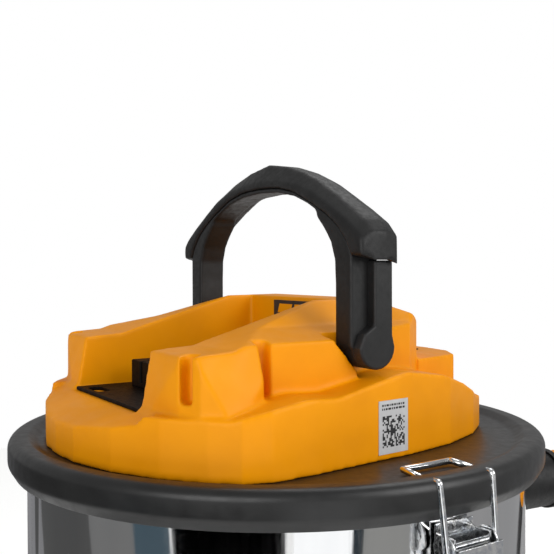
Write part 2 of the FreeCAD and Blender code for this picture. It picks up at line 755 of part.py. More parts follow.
# ---------------------------------------------------------------- handle
# The cap's front edge, crown and back edge, each from its foot to the middle: (x, height).
CAP_FRONT = [(97, 99.5), (96.8, 106.5), (91.8, 111), (81.3, 117.6), (65, 126.5), (52, 133.2),
             (37, 138), (19, 141), (0, 141.9)]
CAP_CROWN = [(97, 97), (97, 111), (91, 117.7), (80, 124.3), (66.5, 132), (52, 139.5),
             (37, 145.4), (20, 150), (0, 153)]
CAP_BACK = [(97, 94), (96, 109), (90, 115.5), (79, 122), (65, 129.5), (51, 137), (36, 142.8),
            (19, 147.2), (0, 150)]
# The line where the cap sits on the bow, and the bow's inner edge.
CAP_SEAT = [(87.5, 99.2), (84, 106), (76, 114.5), (66, 121), (55, 126.5), (36, 134.4),
            (19.6, 137.8), (0, 138.6)]
BOW_INNER = [(0, 136), (20, 135), (36, 132), (48, 127.6), (56.5, 123.4), (58, 119.4),
             (63.3, 114.5), (69.8, 106.7), (73.3, 97.4), (74, 86), (74, 54)]


def raised(points):
    """Points (x, height over the lid's panel) as expressions."""
    return [(x, above(z)) for x, z in points]


def make_handle():
    """Legs and bow in one piece, a crowned cap over the bow, and a raised strip a leg."""
    pivot_z = above("handle_pivot_level")
    outer = [("arch_inner + arch_leg", pivot_z), *raised(CAP_SEAT)]
    inner = raised(BOW_INNER)
    left_outer = [(f"-({x})", z) for x, z in reversed(outer[:-1])]
    left_inner = [(f"-({x})", z) for x, z in inner[1:]]
    closed = outer + left_outer + left_inner[::-1] + inner
    bow = padded("bow", "XZ_Plane", closed, "-arch_back", "-arch_front")
    feet = []
    for i, x in enumerate(("arch_inner", "-arch_inner - arch_leg")):
        foot = cylinder(f"leg_foot{i}", (x, "handle_pivot_y", pivot_z), "foot_round", "arch_leg",
                        (1, 0, 0))
        feet.append(foot)
    holes = [
        cylinder(f"leg_hole{i}", (x, "handle_pivot_y", pivot_z), "pivot_pin_radius + running_gap",
                 12, (1, 0, 0))
        for i, x in enumerate(("arch_inner - 1", "-arch_inner - 11"))
    ]
    node(cut("arch", fuse("arch_solid", bow, *feet), *holes), "handle_arch")

    sections = []
    for i, (y, crown) in enumerate(((-12.6, CAP_FRONT), (-5, CAP_CROWN), (4, CAP_CROWN),
                                    (11, CAP_BACK))):
        sketch = doc.addObject("Sketcher::SketchObject", f"cap_section{i}")
        right, below = raised(crown), raised(CAP_SEAT)
        closed_cap = (right + [(f"-({x})", z) for x, z in reversed(right[:-1])]
                      + [(f"-({x})", z) for x, z in below[:-1]] + below[::-1])
        sketch.Placement = FreeCAD.Placement(Vector(0, y, 0),
                                             FreeCAD.Rotation(Vector(1, 0, 0), 90))
        outline(sketch, closed_cap)
        sections.append(sketch)
    doc.recompute()
    cap = doc.addObject("Part::Loft", "cap")
    cap.Sections = sections
    cap.Solid = True
    cap.Ruled = True
    node(cap, "handle_cap")

    strips = []
    for i, (low, high) in enumerate((("arch_inner + arch_leg", "arch_inner + arch_leg + 5.5"),
                                     ("-arch_inner - arch_leg - 5.5", "-arch_inner - arch_leg"))):
        bar = box(f"strip_bar{i}", (low, -1, pivot_z), (high, 10.5, above(93)))
        disc = cylinder(f"strip_disc{i}", (low, "handle_pivot_y", pivot_z), "foot_round", 5.5,
                        (1, 0, 0))
        strips.append(fuse(f"strip{i}", bar, disc))
    node(group("strips", *strips), "handle_strips")

    pins = []
    for i, x in enumerate(("arch_inner - 7", "-arch_inner - 10.5")):
        pin = cylinder(f"pivot_pin{i}", (x, "handle_pivot_y", pivot_z), "pivot_pin_radius", 17.5,
                       (1, 0, 0))
        pins.append(pin)
    node(group("pivot_pins", *pins), "handle_pivots")


# ---------------------------------------------------------------- blower, board and filter
def make_blower():
    centre = (0, "motor_y")

    def at(rise):
        return (*centre, above(rise))

    shell = fuse("blower_shell", cylinder("blower_can", at(-46), "blower_radius", 54),
                 cylinder("blower_flange", at(0), "blower_radius + 8", 3))
    chamber = cylinder("blower_chamber", at(-43), "blower_radius - 3", 46)
    intake = cylinder("blower_intake", at(-47), 22, 5)
    shaft_way = cylinder("blower_shaft_way", at(2), "shaft_radius + 2", 10)
    outlets = [
        box(f"blower_outlet{i}", (x, "motor_y - 44", above(-10)), (x + 8, "motor_y + 44", above(20)))
        for i, x in enumerate((-44, 36))
    ]
    node(cut("blower", shell, chamber, intake, shaft_way, *outlets), "blower_housing")

    spokes = [
        box("spoke_a", (-24, "motor_y - 2.5", above(-49)), (24, "motor_y + 2.5", above(-46))),
        box("spoke_b", (-2.5, "motor_y - 24", above(-49)), (2.5, "motor_y + 24", above(-46))),
        cylinder("spoke_ring", at(-49), 27, 3),
    ]
    ring_hole = cylinder("spoke_hole", at(-50), 21, 5)
    ring = cut("spoke_ring_cut", spokes[2], ring_hole)
    tapped = cylinder("spoke_tapped", at(-50), 3, 5)
    hub = cylinder("spoke_hub", at(-49), 6, 3)
    node(cut("intake_spider_cut", fuse("spider", ring, hub, *spokes[:2]), tapped), "intake_spider")

    disc = cylinder("impeller_disc", at(-22), "impeller_radius", 2)
    boss = cylinder("impeller_boss", at(-38), 8, 18)
    vanes = []
    for i in range(8):
        hub = Vector(0, size("motor_y"), number(above(-36)))
        vanes.append(turned_box(f"vane{i}", (36, 1.6, 15), (7, -0.8, 0), hub, 45 * i))
    bore = cylinder("impeller_bore", at(-40), "shaft_radius", 30)
    node(cut("fan", fuse("fan_solid", disc, boss, *vanes), bore), "impeller")

    node(cylinder("shaft", at(-39), "shaft_radius", 100), "motor_shaft")
    coil = cylinder("armature_coil", at(18), 17, 30)
    coil_bore = cylinder("armature_bore", at(17), "shaft_radius", 32)
    node(cut("armature", coil, coil_bore), "motor_armature")

    can = cylinder("can_outer", at(8), "motor_radius", 48)
    can_inside = cylinder("can_inside", at(11), "motor_radius - 3", 42)
    ends = cylinder("can_ends", at(7), 8, 50)
    node(cut("can", can, can_inside, ends), "motor_can")
    bearings = [
        tube(f"bearing{i}", at(rise), 8, "shaft_radius + running_gap", 5)
        for i, rise in enumerate((9, 51))
    ]
    node(group("bearings", *bearings), "motor_bearings")
    screws = []
    for i in range(4):
        x, y = polar(size("blower_radius") + 4, 45 + 90 * i)
        screws.append(cylinder(f"blower_screw{i}", (x, f"motor_y + {y}", above(3)), 3, 2.2))
    node(group("blower_screws_group", *screws), "blower_screws")


def make_board():
    board = box("board", (-34, -86, above(10)), (34, -38, above(11.6)))
    node(board, "control_board")
    posts = [
        cylinder(f"post{i}", (x, y, above(11.6)), 3, 10.4)
        for i, (x, y) in enumerate([(-29, -81), (29, -81), (-29, -43), (29, -43)])
    ]
    node(group("posts", *posts), "board_spacers")


def pleated_ring(outer, inner, pleats):
    """A zigzag outline: the folded paper, as one closed ring."""
    def zigzag(high, low):
        corners = []
        for i in range(2 * pleats):
            angle = math.pi * i / pleats
            radius = high if i % 2 else low
            corners.append(Vector(radius * math.cos(angle), radius * math.sin(angle), 0))
        return Part.Wire(Part.makePolygon(corners + corners[:1]))
    folds = Part.Face(zigzag(outer, outer - 9))
    return folds.cut(Part.Face(zigzag(inner + 8, inner))).Faces[0]


def make_filter():
    top = size("lid_level") - 49
    length = size("filter_length")
    face = pleated_ring(size("filter_radius"), size("filter_radius") - 14, 40)
    paper = face.extrude(Vector(0, 0, -(length - 8)))
    paper.translate(Vector(0, size("motor_y"), top - 4))
    node(featured("paper", paper), "filter_pleats")

    def ring(name, z):
        return tube(name, (0, "motor_y", z), "filter_radius + 2", 30, 4)

    node(ring("ring_top", top - 4), "filter_top_ring")
    node(tube("cap_disc", (0, "motor_y", top - length), "filter_radius + 2", 3.6, 4),
         "filter_cap")
    rod = cylinder("rod", (0, "motor_y", top - length - 14), 3, f"{length} + 17")
    node(rod, "filter_stud")
    hub = tube("nut_hub", (0, "motor_y", top - length - 10), 8, 3, 10)
    wings = [
        box(f"nut_wing{i}", (x, "motor_y - 1.5", top - length - 10),
            (x + 12, "motor_y + 1.5", top - length - 1))
        for i, x in enumerate((-19, 7))
    ]
    node(fuse("nut", hub, *wings), "filter_wing_nut")
    guard = tube("guard", (0, "motor_y", top - length + 4), 34, 33, length - 8)
    node(guard, "filter_core")


# ---------------------------------------------------------------- build and write
def broken(obj):
    return any(flag in obj.State for flag in ("Invalid", "Error"))


def write_parts():
    doc.recompute()
    faults = [obj.Name for obj in doc.Objects if broken(obj)]
    faults += [name for name, obj in nodes.items()
               if obj.Shape.isNull() or not obj.Shape.isValid() or not obj.Shape.Solids]
    if faults:
        raise RuntimeError("failed objects: " + ", ".join(faults))
    os.makedirs("parts", exist_ok=True)
    for name, obj in nodes.items():
        obj.Shape.exportStep(f"parts/{name}.step")
        bounds = obj.Shape.BoundBox
        print(f"{name:20s} solids {len(obj.Shape.Solids):2d} volume {obj.Shape.Volume:10.0f} "
              f"x {bounds.XMin:7.1f} {bounds.XMax:7.1f} y {bounds.YMin:7.1f} {bounds.YMax:7.1f} "
              f"z {bounds.ZMin:7.1f} {bounds.ZMax:7.1f}")


make_drum()
make_inlet()
make_cuff()
make_hose()
make_lid()
make_latch("a", "latch_turn")
make_latch("b", "latch_turn + 180")
make_head()
make_bay()
make_info_label()
make_switch()
make_handle()
make_blower()
make_board()
make_filter()
write_parts()
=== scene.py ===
"""The looks of a battery shop vacuum: steel drum, black lid, yellow motor head, folding
carry handle, toggle latches and suction hose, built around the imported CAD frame.
Lengths are in metres in the frame's own axes: +Z up, origin on the drum's axis at the floor.
"""

import json
import math
import random

import bpy
from mathutils import Matrix, Quaternion, Vector


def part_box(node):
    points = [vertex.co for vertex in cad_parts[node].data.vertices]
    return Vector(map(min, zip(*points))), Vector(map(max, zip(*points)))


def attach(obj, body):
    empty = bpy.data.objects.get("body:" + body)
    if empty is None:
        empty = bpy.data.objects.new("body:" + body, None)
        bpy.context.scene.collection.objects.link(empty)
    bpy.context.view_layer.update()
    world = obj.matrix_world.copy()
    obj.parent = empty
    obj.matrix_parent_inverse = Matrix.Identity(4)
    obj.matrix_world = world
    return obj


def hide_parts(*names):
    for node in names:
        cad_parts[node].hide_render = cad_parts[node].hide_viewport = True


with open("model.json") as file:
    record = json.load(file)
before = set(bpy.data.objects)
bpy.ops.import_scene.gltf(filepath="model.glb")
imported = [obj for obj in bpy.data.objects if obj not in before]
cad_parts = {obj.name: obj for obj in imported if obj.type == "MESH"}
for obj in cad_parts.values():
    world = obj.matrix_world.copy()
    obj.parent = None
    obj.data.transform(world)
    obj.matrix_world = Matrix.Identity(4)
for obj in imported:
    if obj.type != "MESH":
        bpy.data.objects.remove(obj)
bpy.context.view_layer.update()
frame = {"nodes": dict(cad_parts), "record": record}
NODES = frame["nodes"]
MM = 0.001
GASKET_GAP = 0.4  # from the gasket's top up to the top face of the lid's panel
LID_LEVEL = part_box("lid_gasket")[1].z / MM + GASKET_GAP  # that top face

# Sizes that repeat the CAD model's, in millimetres; turns are in radians.
DRUM_TURN, LATCH_TURN = math.radians(-7), math.radians(2)
DRUM_RADIUS, DRUM_SHEET, DRUM_LOW, DRUM_TOP, BEAD = 140, 1, 9, 262, 2.6
LID_RADIUS, LID_SHEET = 150, 1.2
INLET_LEVEL, PORT_REACH, CUFF_RADIUS, CUFF_BEND, CUFF_TURN = 217.5, 206, 18, 56, math.radians(60)
WIRE_RADIUS, BAIL_HALF, BAIL_REACH, BAIL_INNER, BAIL_PIVOT_LEVEL = 1.6, 16.4, 152.5, 122.5, 232
HANDLE_PIVOT_Y, HANDLE_PIVOT_LEVEL, FOOT_ROUND = 1, LID_LEVEL + 54, 11


# ---------------------------------------------------------------- camera, lights and floor
def add_camera():
    """A normal lens a little over the lid, close in, seen from +X, -Y."""
    heading, pitch, roll = math.radians(57.9), math.radians(0.75), math.radians(-0.2)
    data = bpy.data.cameras.new("camera")
    data.lens = 53.9
    camera = bpy.data.objects.new("camera", data)
    bpy.context.scene.collection.objects.link(camera)
    camera.location = (0.4111, -0.2571, 0.3643)
    ahead = Vector((-math.sin(heading), math.cos(heading), -math.tan(pitch)))
    camera.rotation_mode = "QUATERNION"
    camera.rotation_quaternion = ahead.to_track_quat("-Z", "Y") @ Quaternion((0, 0, 1), roll)
    bpy.context.scene.camera = camera


SOFTBOX_AIM = Vector((0, 0, 0.3))
SOFTBOX_DISTANCE = 2.4


def add_softbox(name, azimuth, elevation, size, watts):
    """An area light placed by its direction from the object and turned to face it."""
    turn, rise = math.radians(azimuth), math.radians(elevation)
    data = bpy.data.lights.new(name, "AREA")
    data.shape = "RECTANGLE"
    data.size, data.size_y = size
    data.energy = watts
    lamp = bpy.data.objects.new(name, data)
    bpy.context.scene.collection.objects.link(lamp)
    back = Vector((math.sin(turn) * math.cos(rise), -math.cos(turn) * math.cos(rise),
                   math.sin(rise)))
    lamp.location = SOFTBOX_AIM + back * SOFTBOX_DISTANCE
    lamp.rotation_euler = (-back).to_track_quat("-Z", "Y").to_euler()


def add_world():
    world = bpy.data.worlds.new("studio")
    bpy.context.scene.world = world
    world.use_nodes = True
    background = world.node_tree.nodes["Background"]
    background.inputs["Color"].default_value = (1.0, 1.0, 1.0, 1.0)
    background.inputs["Strength"].default_value = 0.42


def stage_paint(name, color, glow):
    """A matt studio surface, partly lit from within."""
    paint = bpy.data.materials.new(name)
    paint.use_nodes = True
    shader = paint.node_tree.nodes["Principled BSDF"]
    shader.inputs["Base Color"].default_value = (*color, 1)
    shader.inputs["Specular IOR Level"].default_value = 0
    shader.inputs["Roughness"].default_value = 0.9
    shader.inputs["Emission Color"].default_value = (1, 1, 1, 1)
    shader.inputs["Emission Strength"].default_value = glow
    return paint


def add_floor():
    """A pale round floor inside a white cylinder that only the camera sees."""
    sides, reach, wall, top = 96, 1.3, 7.0, 7.0
    ring = [(math.cos(2 * math.pi * i / sides), math.sin(2 * math.pi * i / sides))
            for i in range(sides)]
    mesh = bpy.data.meshes.new("floor")
    mesh.from_pydata([(x * reach, y * reach, 0) for x, y in ring], [], [tuple(range(sides))])
    mesh.materials.append(stage_paint("floor_paint", (0.9, 0.9, 0.89), 0.3))
    floor = bpy.data.objects.new("floor", mesh)
    bpy.context.scene.collection.objects.link(floor)
    points = [(x * wall, y * wall, z) for z in (-top, top) for x, y in ring]
    faces = [(i, (i + 1) % sides, (i + 1) % sides + sides, i + sides) for i in range(sides)]
    faces += [tuple(range(sides)), tuple(range(sides, 2 * sides))]
    mesh = bpy.data.meshes.new("backdrop")
    mesh.from_pydata(points, [], faces)
    mesh.materials.append(stage_paint("backdrop_paint", (0, 0, 0), 1.0))
    backdrop = bpy.data.objects.new("backdrop", mesh)
    bpy.context.scene.collection.objects.link(backdrop)
    backdrop.visible_diffuse = False
    backdrop.visible_glossy = False
    backdrop.visible_transmission = False
    backdrop.visible_shadow = False


CARD_RADIUS, CARD_LOW, CARD_HIGH = 0.46, 0.002, 0.26


def add_card(name, first, last, shade):
    """A studio card that only shows in reflections: an arc between two polar angles."""
    degrees_a_face = 4
    steps = max(2, round(abs(last - first) / degrees_a_face))
    points, faces = [], []
    for i in range(steps + 1):
        angle = math.radians(first + (last - first) * i / steps)
        for height in (CARD_LOW, CARD_HIGH):
            points.append((CARD_RADIUS * math.cos(angle), CARD_RADIUS * math.sin(angle), height))
    for i in range(steps):
        faces.append((2 * i, 2 * i + 2, 2 * i + 3, 2 * i + 1))
    mesh = bpy.data.meshes.new(name)
    mesh.from_pydata(points, [], faces)
    card = bpy.data.objects.new(name, mesh)
    bpy.context.scene.collection.objects.link(card)
    paint = stage_paint(name, (0, 0, 0), 1.0)
    glow = paint.node_tree.nodes["Principled BSDF"].inputs["Emission Color"]
    glow.default_value = (*shade, 1)
    mesh.materials.append(paint)
    card.visible_camera = False
    card.visible_diffuse = False
    card.visible_shadow = False


# ---------------------------------------------------------------- materials
class Surface:
    """A Principled material whose colour, roughness and relief vary through the piece."""

    def __init__(self, name, color, roughness, metallic=0.0, **uniform):
        self.material = bpy.data.materials.new(name)
        self.material.use_nodes = True
        self.nodes = self.material.node_tree.nodes
        self.links = self.material.node_tree.links
        self.shader = self.nodes["Principled BSDF"]
        self.shader.inputs["Metallic"].default_value = metallic
        for socket, value in uniform.items():
            self.shader.inputs[socket.replace("_", " ")].default_value = value
        self.place = self.nodes.new("ShaderNodeTexCoord").outputs["Object"]
        self.color = (*color, 1)
        self.roughness = roughness
        self.normal = None

    def noise(self, size, detail=2.0, stretch=(1, 1, 1)):
        """Noise whose features are about that many millimetres across."""
        mapping = self.nodes.new("ShaderNodeMapping")
        mapping.inputs["Scale"].default_value = tuple(1 / (size * MM * s) for s in stretch)
        self.links.new(self.place, mapping.inputs["Vector"])
        texture = self.nodes.new("ShaderNodeTexNoise")
        texture.inputs["Scale"].default_value = 1
        texture.inputs["Detail"].default_value = detail
        self.links.new(mapping.outputs["Vector"], texture.inputs["Vector"])
        return texture.outputs["Fac"]

    def ramp(self, factor, low, high, start=0.35, end=0.65):
        """A number or colour that runs from low to high as the factor crosses its middle."""
        ramp = self.nodes.new("ShaderNodeValToRGB")
        for element, place, value in zip(ramp.color_ramp.elements, (start, end), (low, high)):
            element.position = place
            element.color = (value,) * 3 + (1,) if isinstance(value, float) else (*value, 1)
        self.links.new(factor, ramp.inputs["Fac"])
        return ramp.outputs["Color"]

    def tint(self, low, high, size, stretch=(1, 1, 1)):
        """Colour between two tones, in soft patches of that size in millimetres."""
        shade = self.ramp(self.noise(size, 3.0, stretch), low, high)
        self.links.new(shade, self.shader.inputs["Base Color"])
        return shade

    def polish(self, low, high, size, stretch=(1, 1, 1)):
        """Roughness between two values."""
        value = self.ramp(self.noise(size, 4.0, stretch), float(low), float(high))
        self.links.new(value, self.shader.inputs["Roughness"])

    def relief(self, size, depth, detail=2.0, stretch=(1, 1, 1)):
        """A fine bump, its depth in millimetres."""
        bump = self.nodes.new("ShaderNodeBump")
        bump.inputs["Distance"].default_value = depth * MM
        bump.inputs["Strength"].default_value = 1.0
        self.links.new(self.noise(size, detail, stretch), bump.inputs["Height"])
        if self.normal is not None:
            self.links.new(self.normal, bump.inputs["Normal"])
        self.normal = bump.outputs["Normal"]

    def paler_edges(self, base, edge_tone, start=0.52, end=0.6):
        """A paler tone where the surface turns sharply outwards."""
        geometry = self.nodes.new("ShaderNodeNewGeometry")
        edge = self.ramp(geometry.outputs["Pointiness"], 0.0, 1.0, start, end)
        mix = self.nodes.new("ShaderNodeMix")
        mix.data_type = "RGBA"
        self.links.new(edge, mix.inputs["Factor"])
        self.links.new(base, mix.inputs["A"])
        mix.inputs["B"].default_value = (*edge_tone, 1)
        self.links.new(mix.outputs["Result"], self.shader.inputs["Base Color"])

    def done(self):
        base, rough = self.shader.inputs["Base Color"], self.shader.inputs["Roughness"]
        if not base.is_linked:
            base.default_value = self.color
        if not rough.is_linked:
            rough.default_value = self.roughness
        if self.normal is not None:
            self.links.new(self.normal, self.shader.inputs["Normal"])
        return self.material


def yellow_plastic():
    """Satin moulded plastic with a fine spark texture and a faint flow mottle."""
    surface = Surface("yellow_plastic", (0.82, 0.295, 0.0), 0.46, Specular_IOR_Level=0.14)
    surface.tint((0.80, 0.285, 0.0), (0.84, 0.305, 0.0), 22)
    surface.polish(0.38, 0.48, 9)
    surface.relief(0.7, 0.03)
    return surface.done()


def black_plastic():
    """Dark grained plastic."""
    surface = Surface("black_plastic", (0.008, 0.008, 0.008), 0.45, Specular_IOR_Level=0.3)
    surface.tint((0.006, 0.006, 0.006), (0.010, 0.010, 0.010), 6)
    surface.polish(0.4, 0.55, 2)
    surface.relief(0.6, 0.06)
    return surface.done()


def handle_plastic():
    """The carry handle's black grained nylon, a little paler along its sharp edges."""
    surface = Surface("handle_plastic", (0.009, 0.009, 0.009), 0.46, Specular_IOR_Level=0.32)
    shade = surface.tint((0.007, 0.007, 0.007), (0.011, 0.011, 0.011), 8)
    # A paler tone on the handle's sharp outward edges.
    surface.paler_edges(shade, (0.022, 0.022, 0.023))
    surface.polish(0.42, 0.56, 3)
    surface.relief(0.55, 0.06)
    return surface.done()


def lid_paint():
    """Black powder coat with a leathery texture over pressed sheet steel."""
    surface = Surface("lid_paint", (0.006, 0.006, 0.006), 0.40, Specular_IOR_Level=0.5)
    surface.tint((0.005, 0.005, 0.005), (0.008, 0.008, 0.008), 12)
    surface.polish(0.36, 0.44, 5)
    surface.relief(0.5, 0.02)
    return surface.done()


def drum_steel():
    """Bright rolled stainless steel: a mirror with faint vertical rolling lines and waves."""
    surface = Surface("drum_steel", (0.66, 0.66, 0.66), 0.07, 1.0)
    surface.tint((0.62, 0.625, 0.63), (0.70, 0.70, 0.70), 30, (1, 1, 6))
    surface.polish(0.05, 0.10, 1.2, (1, 1, 40))
    surface.relief(60, 0.10, 1.0, (1, 1, 2.5))
    surface.relief(0.5, 0.0008, 2.0, (1, 1, 60))
    return surface.done()


def plated_wire():
    """Zinc-plated spring wire and pressed sheet with a bright bluish finish."""
    surface = Surface("plated_wire", (0.72, 0.74, 0.76), 0.16, 1.0)
    surface.tint((0.60, 0.62, 0.65), (0.80, 0.80, 0.79), 3)
    surface.polish(0.10, 0.26, 1.5)
    surface.relief(0.9, 0.02)
    return surface.done()


def plain_metal(name, low, high, rough):
    """Machined or pressed metal with a faint brushed variation."""
    surface = Surface(name, low, rough, 1.0)
    surface.tint(low, high, 4, (1, 1, 5))
    surface.polish(rough * 0.8, rough * 1.25, 1.5)
    surface.relief(0.4, 0.01)
    return surface.done()


def plain_plastic(name, low, high, rough, grain=0.5, shine=0.4):
    """Moulded plastic, rubber or paper: two near tones, soft gloss changes and a grain."""
    surface = Surface(name, low, rough, Specular_IOR_Level=shine)
    surface.tint(low, high, 5)
    surface.polish(rough * 0.88, min(rough * 1.12, 1.0), 2)
    surface.relief(grain, 0.04)
    return surface.done()


# ---------------------------------------------------------------- mesh helpers
def add_piece(name, mesh, paint, body="root", stands_for=(), smooth=True):
    """Link a finished mesh as a piece of the object that rides on a CAD body."""
    piece = bpy.data.objects.new(name, mesh)
    bpy.context.scene.collection.objects.link(piece)
    mesh.materials.clear()
    mesh.materials.append(paint)
    if smooth:
        mesh.shade_smooth()
    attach(piece, body)
    if stands_for:
        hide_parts(*stands_for)
    return piece


def mesh_of(name, points, faces):
    mesh = bpy.data.meshes.new(name)
    mesh.from_pydata(points, [], faces)
    mesh.validate()
    mesh.update()
    return mesh


def baked(piece):
    """Apply a piece's modifiers to its mesh."""
    bpy.context.view_layer.update()
    graph = bpy.context.evaluated_depsgraph_get()
    mesh = bpy.data.meshes.new_from_object(piece.evaluated_get(graph))
    piece.modifiers.clear()
    piece.data = mesh
    mesh.shade_smooth()
    return piece


def softened(name, node, voxel, passes, paint, body="root"):
    """A moulded copy of a CAD piece: an even skin over its shape, its edges rounded off."""
    mesh = NODES[node].data.copy()
    piece = add_piece(name, mesh, paint, body, (node,))
    weld = piece.modifiers.new("weld", "WELD")
    weld.merge_threshold = 0.01 * MM
    remesh = piece.modifiers.new("skin", "REMESH")
    remesh.mode = "VOXEL"
    remesh.voxel_size = voxel * MM
    smooth = piece.modifiers.new("round", "SMOOTH")
    smooth.factor = 0.5
    smooth.iterations = passes
    return baked(piece)


def lathe(name, profile, sides, swell=None):
    """Turn a closed outline of (radius, height) points about the drum's axis.

    swell gives how far the surface stands out at an angle and a height.
    """
    points, faces = [], []
    count = len(profile)
    for step in range(sides):
        angle = 2 * math.pi * step / sides
        for radius, height in profile:
            out = radius + (swell(angle, height) if swell else 0)
            points.append((out * math.cos(angle), out * math.sin(angle), height))
    for step in range(sides):
        here, there = step * count, (step + 1) % sides * count
        for i in range(count):
            j = (i + 1) % count
            faces.append((here + i, there + i, there + j, here + j))
    return mesh_of(name, points, faces)


def rounded(corners):
    """A closed flat outline whose corners (across, up, radius) are turned into short arcs."""
    outline = []
    count = len(corners)
    degrees_a_step = 12
    for i, (across, up, radius) in enumerate(corners):
        at = Vector((across, up))
        if radius <= 0:
            outline.append((across, up))
            continue
        back = Vector(corners[i - 1][:2]) - at
        on = Vector(corners[(i + 1) % count][:2]) - at
        half = back.angle(on) / 2
        reach = min(radius / math.tan(half), 0.49 * back.length, 0.49 * on.length)
        radius = reach * math.tan(half)
        first, last = at + back.normalized() * reach, at + on.normalized() * reach
        bisector = (back.normalized() + on.normalized()).normalized()
        middle = at + bisector * (radius / math.sin(half))
        sweep = math.pi - 2 * half
        steps = max(2, round(sweep / math.radians(degrees_a_step)))
        start, end = first - middle, last - middle
        turn = start.angle_signed(end)
        for k in range(steps + 1):
            spoke = start.copy()
            spoke.rotate(Matrix.Rotation(-turn * k / steps, 2))
            outline.append(tuple(middle + spoke))
    return outline


def spaced(line, distances):
    """Points and directions at distances along a polyline."""
    places, travelled = [0.0], 0.0
    for a, b in zip(line, line[1:]):
        travelled += (b - a).length
        places.append(travelled)
    found, leg = [], 0
    for distance in distances:
        while leg < len(line) - 2 and places[leg + 1] < distance:
            leg += 1
        share = (distance - places[leg]) / (places[leg + 1] - places[leg])
        found.append(line[leg].lerp(line[leg + 1], share))
    ahead = [(b - a).normalized() for a, b in zip(found, found[1:])]
    directions = [ahead[0]]
    directions += [(a + b).normalized() for a, b in zip(ahead, ahead[1:])]
    directions.append(ahead[-1])
    return found, directions


def tube(name, centres, directions, radii, sides):
    """A closed round tube through ring centres, carried along without twist."""
    points, faces = [], []
    across = directions[0].orthogonal().normalized()
    for centre, ahead, radius in zip(centres, directions, radii):
        across = (across - ahead * across.dot(ahead)).normalized()
        up = ahead.cross(across)
        for i in range(sides):
            angle = 2 * math.pi * i / sides
            points.append(centre + (across * math.cos(angle) + up * math.sin(angle)) * radius)
    for ring in range(len(centres) - 1):
        for i in range(sides):
            j = (i + 1) % sides
            a, b = ring * sides, (ring + 1) * sides
            faces.append((a + i, a + j, b + j, b + i))
    faces.append(tuple(range(sides - 1, -1, -1)))
    faces.append(tuple(range((len(centres) - 1) * sides, len(centres) * sides)))
    return mesh_of(name, points, faces)


def length_of(line):
    return sum((b - a).length for a, b in zip(line, line[1:]))


# ---------------------------------------------------------------- hose
# The CAD hose's points, in metres: from the cuff's end down behind the inlet, and round
# the drum on the floor.
HOSE_ROUTE = [
    (0.0323, 0.2625, 0.1895),
    (0.0356, 0.2898, 0.1419),
    (0.0245, 0.3210, 0.0916),
    (-0.0081, 0.3499, 0.0504),
    (-0.0574, 0.3723, 0.0240),
    (-0.1165, 0.3849, 0.0152),
    (-0.1839, 0.3737, 0.0152),
    (-0.2412, 0.3380, 0.0152),
    (-0.2884, 0.2789, 0.0152),
    (-0.3207, 0.2012, 0.0152),
    (-0.3341, 0.1139, 0.0152),
    (-0.3244, 0.0263, 0.0152),
    (-0.2916, -0.0553, 0.0152),
    (-0.2395, -0.1265, 0.0152),
    (-0.1703, -0.1813, 0.0152),
    (-0.0894, -0.2168, 0.0152),
]
HOSE_DIAMETER = 0.030
RIB_PITCH, RIB_DEPTH = 0.0052, 0.0022


def spline_line(points):
    """The line of a smooth NURBS spline over control points, as it is drawn."""
    curve = bpy.data.curves.new("hose_line", "CURVE")
    curve.dimensions = "3D"
    spline = curve.splines.new("NURBS")
    spline.points.add(len(points) - 1)
    for target, point in zip(spline.points, points):
        target.co = (*point, 1)
    spline.order_u = 3
    spline.use_endpoint_u = True
    spline.resolution_u = 16
    holder = bpy.data.objects.new("hose_line", curve)
    drawn = bpy.data.meshes.new_from_object(holder)
    line = [vertex.co.copy() for vertex in drawn.vertices]
    bpy.data.objects.remove(holder)
    bpy.data.curves.remove(curve)
    bpy.data.meshes.remove(drawn)
    return line


def add_hose(paint, cuff):
    """A corrugated hose from the cuff: rounded ribs at an even pitch along the route."""
    line = spline_line(HOSE_ROUTE)
    length = length_of(line)
    ribs, rings_a_rib = round(length / RIB_PITCH), 6
    count = ribs * rings_a_rib
    places = [length * i / count for i in range(count + 1)]
    centres, directions = spaced(line, places)
    wave = [math.cos(2 * math.pi * i / rings_a_rib) for i in range(count + 1)]
    radii = [HOSE_DIAMETER / 2 - RIB_DEPTH * (0.5 - 0.5 * math.copysign(abs(w) ** 0.6, w))
             for w in wave]
    mesh = tube("hose", centres, directions, radii, 28)
    hose = add_piece("hose", mesh, paint, "root", ("suction_hose",))


# ---------------------------------------------------------------- sheet metal and wire
def add_lid(paint):
    """A flat panel that steps up into a rolled rim, and a tucked skirt below it.

    Heights in the outline are over the panel; the air way in its middle is under the head.
    """
    panel, air_way = 134, 50  # the drawn panel is half a millimetre wider than the CAD's
    crest, wide, skirt, tuck = 3.2, -9.6, -15, 3.3
    step, inside = panel + 5.5, LID_RADIUS - LID_SHEET
    top = [
        (air_way, 0, 0), (panel, 0, 6), (step, crest, 4), (LID_RADIUS, crest, 7),
        (LID_RADIUS, wide, 5), (LID_RADIUS - tuck, skirt, 0.4),
    ]
    under = [
        (LID_RADIUS - tuck - 1.1, skirt, 0.4), (inside, wide, 4), (inside, crest - LID_SHEET, 6),
        (step + 0.3, crest - 1.3, 3), (panel + 0.4, -LID_SHEET, 5),
        (air_way, -LID_SHEET, 0),
    ]
    profile = [(x * MM, (LID_LEVEL + z) * MM) for x, z in rounded(top + under)]
    add_piece("lid", lathe("lid", profile, 240), paint, "root", ("lid_pan",))


